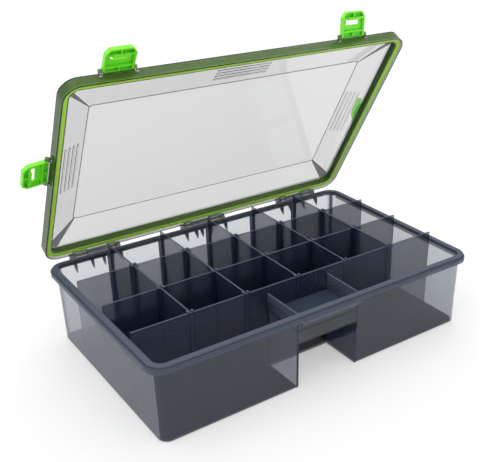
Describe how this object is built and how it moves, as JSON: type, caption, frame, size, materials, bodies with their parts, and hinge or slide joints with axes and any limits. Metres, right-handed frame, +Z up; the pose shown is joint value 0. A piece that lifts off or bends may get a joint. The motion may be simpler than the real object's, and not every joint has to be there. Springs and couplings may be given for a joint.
{
  "type": "lure box",
  "caption": "Deep waterproof tackle tray with long partitions, lift-out dividers, a clear hinged lid with a seal, and snap latches.",
  "frame": {"origin": "centre of the tray's flat underside", "axes": "+X to the right along the long side, +Y to the hinges at the rear, +Z up out of the tray"},
  "size_m": [0.4007, 0.2404, 0.3104],
  "materials": {
    "tray_plastic": "smoke-tinted translucent polypropylene, satin",
    "divider_plastic": "smoke-tinted translucent polypropylene, satin",
    "lid_plastic": "clear moulded polypropylene, glossy",
    "seal_rubber": "lime silicone, matt",
    "latch_plastic": "bright green moulded plastic, glossy",
    "pin_steel": "drawn stainless rod"
  },
  "bodies": {
    "tray": {"tub": "tray_plastic", "partition_rear": "tray_plastic", "partition_middle": "tray_plastic", "partition_front": "tray_plastic", "hinge_pin_left": "pin_steel", "hinge_pin_middle": "pin_steel", "hinge_pin_right": "pin_steel"},
    "lid": {"lid": "lid_plastic", "lid_seal": "seal_rubber"},
    "latch_front_left": {"latch_front_left": "latch_plastic"},
    "latch_front_right": {"latch_front_right": "latch_plastic"},
    "latch_left": {"latch_left": "latch_plastic"},
    "latch_right": {"latch_right": "latch_plastic"},
    "divider_1_1": {"divider_1_1": "divider_plastic"},
    "divider_1_2": {"divider_1_2": "divider_plastic"},
    "divider_1_3": {"divider_1_3": "divider_plastic"},
    "divider_1_4": {"divider_1_4": "divider_plastic"},
    "divider_1_5": {"divider_1_5": "divider_plastic"},
    "divider_2_1": {"divider_2_1": "divider_plastic"},
    "divider_2_2": {"divider_2_2": "divider_plastic"},
    "divider_2_3": {"divider_2_3": "divider_plastic"},
    "divider_2_4": {"divider_2_4": "divider_plastic"},
    "divider_2_5": {"divider_2_5": "divider_plastic"},
    "divider_3_1": {"divider_3_1": "divider_plastic"},
    "divider_3_2": {"divider_3_2": "divider_plastic"},
    "divider_3_3": {"divider_3_3": "divider_plastic"},
    "divider_3_4": {"divider_3_4": "divider_plastic"},
    "divider_3_5": {"divider_3_5": "divider_plastic"}
  },
  "joints": [
    {"name": "lid_hinge", "type": "hinge", "parent": "tray", "child": "lid", "pos_m": [0, 0.1196, 0.07875], "axis": [-1, 0, 0], "range_deg": [-59.45, 55.55]},
    {"name": "latch_front_left_pivot", "type": "hinge", "parent": "lid", "child": "latch_front_left", "pos_m": [-0.1314, 0.00702, 0.2875], "axis": [-1, 0, 0], "range_deg": [-88, 92]},
    {"name": "latch_front_right_pivot", "type": "hinge", "parent": "lid", "child": "latch_front_right", "pos_m": [0.114, 0.00702, 0.2875], "axis": [-1, 0, 0], "range_deg": [-118, 62]},
    {"name": "latch_left_pivot", "type": "hinge", "parent": "lid", "child": "latch_left", "pos_m": [-0.1834, 0.06186, 0.19458], "axis": [0, 0.5083, -0.8612], "range_deg": [-83, 97]},
    {"name": "latch_right_pivot", "type": "hinge", "parent": "lid", "child": "latch_right", "pos_m": [0.1834, 0.07177, 0.17779], "axis": [0, -0.5083, 0.8612], "range_deg": [-156, 24]},
    {"name": "divider_1_1_lift", "type": "slide", "parent": "tray", "child": "divider_1_1", "axis": [0, 0, 1], "range_m": [0, 0.03]},
    {"name": "divider_1_2_lift", "type": "slide", "parent": "tray", "child": "divider_1_2", "axis": [0, 0, 1], "range_m": [0, 0.03]},
    {"name": "divider_1_3_lift", "type": "slide", "parent": "tray", "child": "divider_1_3", "axis": [0, 0, 1], "range_m": [0, 0.03]},
    {"name": "divider_1_4_lift", "type": "slide", "parent": "tray", "child": "divider_1_4", "axis": [0, 0, 1], "range_m": [0, 0.03]},
    {"name": "divider_1_5_lift", "type": "slide", "parent": "tray", "child": "divider_1_5", "axis": [0, 0, 1], "range_m": [0, 0.03]},
    {"name": "divider_2_1_lift", "type": "slide", "parent": "tray", "child": "divider_2_1", "axis": [0, 0, 1], "range_m": [0, 0.09]},
    {"name": "divider_2_2_lift", "type": "slide", "parent": "tray", "child": "divider_2_2", "axis": [0, 0, 1], "range_m": [0, 0.09]},
    {"name": "divider_2_3_lift", "type": "slide", "parent": "tray", "child": "divider_2_3", "axis": [0, 0, 1], "range_m": [0, 0.09]},
    {"name": "divider_2_4_lift", "type": "slide", "parent": "tray", "child": "divider_2_4", "axis": [0, 0, 1], "range_m": [0, 0.09]},
    {"name": "divider_2_5_lift", "type": "slide", "parent": "tray", "child": "divider_2_5", "axis": [0, 0, 1], "range_m": [0, 0.09]},
    {"name": "divider_3_1_lift", "type": "slide", "parent": "tray", "child": "divider_3_1", "axis": [0, 0, 1], "range_m": [0, 0.09]},
    {"name": "divider_3_2_lift", "type": "slide", "parent": "tray", "child": "divider_3_2", "axis": [0, 0, 1], "range_m": [0, 0.09]},
    {"name": "divider_3_3_lift", "type": "slide", "parent": "tray", "child": "divider_3_3", "axis": [0, 0, 1], "range_m": [0, 0.09]},
    {"name": "divider_3_4_lift", "type": "slide", "parent": "tray", "child": "divider_3_4", "axis": [0, 0, 1], "range_m": [0, 0.09]},
    {"name": "divider_3_5_lift", "type": "slide", "parent": "tray", "child": "divider_3_5", "axis": [0, 0, 1], "range_m": [0, 0.09]}
  ]
}
